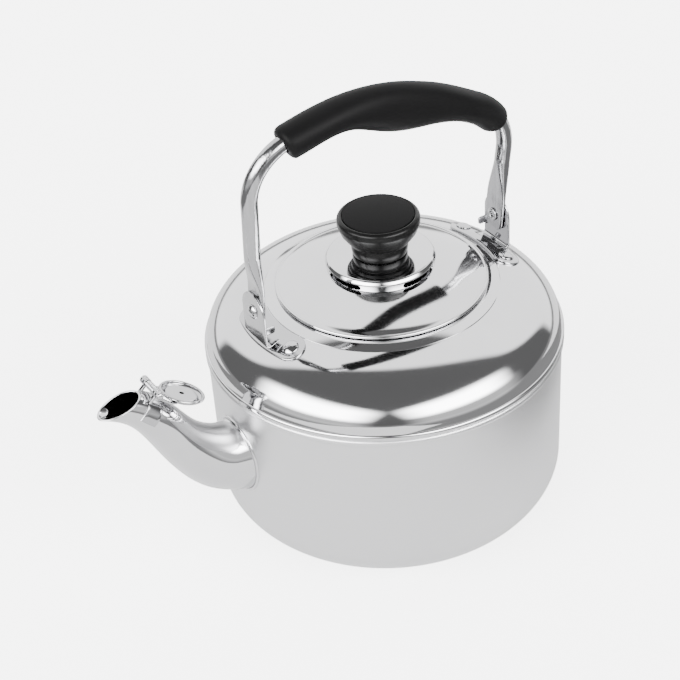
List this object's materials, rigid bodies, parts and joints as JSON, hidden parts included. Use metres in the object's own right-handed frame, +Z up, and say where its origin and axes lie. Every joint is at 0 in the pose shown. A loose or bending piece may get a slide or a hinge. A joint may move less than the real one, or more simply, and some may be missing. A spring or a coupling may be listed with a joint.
{
  "type": "stovetop whistling kettle",
  "caption": "Round stainless kettle with a gooseneck spout, flip-open whistle, vented lift-off lid with a black knob, and a rocking bail handle with a black grip.",
  "frame": {"origin": "bottom centre of the body, on the kettle's axis, where the flat base meets the hob", "axes": "+Z up along the body's axis, -X towards the spout, Y across; the bail's pivot line is parallel to X"},
  "size_m": [0.3009, 0.22, 0.2951],
  "materials": {
    "polished_steel": "mirror-polished stainless steel",
    "satin_steel": "satin stainless steel, drawn wall",
    "tube_steel": "polished stainless tube",
    "rivet_steel": "turned and pressed stainless steel",
    "grip_plastic": "satin black moulded plastic",
    "black_bakelite": "glossy black bakelite",
    "inlay_plastic": "satin dark grey disc",
    "insert_brass": "plain turned brass"
  },
  "bodies": {
    "body": {"bowl": "satin_steel", "shoulder": "polished_steel", "neck_ring": "polished_steel", "spout": "polished_steel", "spout_ring": "polished_steel", "bracket_front": "polished_steel", "bracket_rear": "polished_steel", "bracket_rivets_front": "rivet_steel", "bracket_rivets_rear": "rivet_steel", "pivot_rivet_front": "rivet_steel", "pivot_rivet_rear": "rivet_steel", "whistle_saddle": "polished_steel", "whistle_pin": "rivet_steel", "whistle_spring": "rivet_steel"},
    "bail": {"bail_tube": "tube_steel", "grip": "grip_plastic"},
    "lid": {"lid": "polished_steel", "lid_skirt": "satin_steel", "vent_cap": "polished_steel", "knob": "black_bakelite", "knob_inlay": "inlay_plastic", "knob_insert": "insert_brass", "knob_screw": "rivet_steel", "knob_washer": "rivet_steel"},
    "whistle": {"whistle_cap": "polished_steel", "whistle_plate": "polished_steel"}
  },
  "joints": [
    {"name": "bail_rock", "type": "hinge", "parent": "body", "child": "bail", "pos_m": [0, 0, 0.171], "axis": [-1, 0, 0], "range_deg": [0, 16]},
    {"name": "lid_lift", "type": "slide", "parent": "body", "child": "lid", "axis": [0, 0, 1], "range_m": [0, 0.045]},
    {"name": "whistle_flip", "type": "hinge", "parent": "body", "child": "whistle", "pos_m": [-0.156, 0, 0.1483], "axis": [0, -1, 0], "range_deg": [0, 217]}
  ]
}
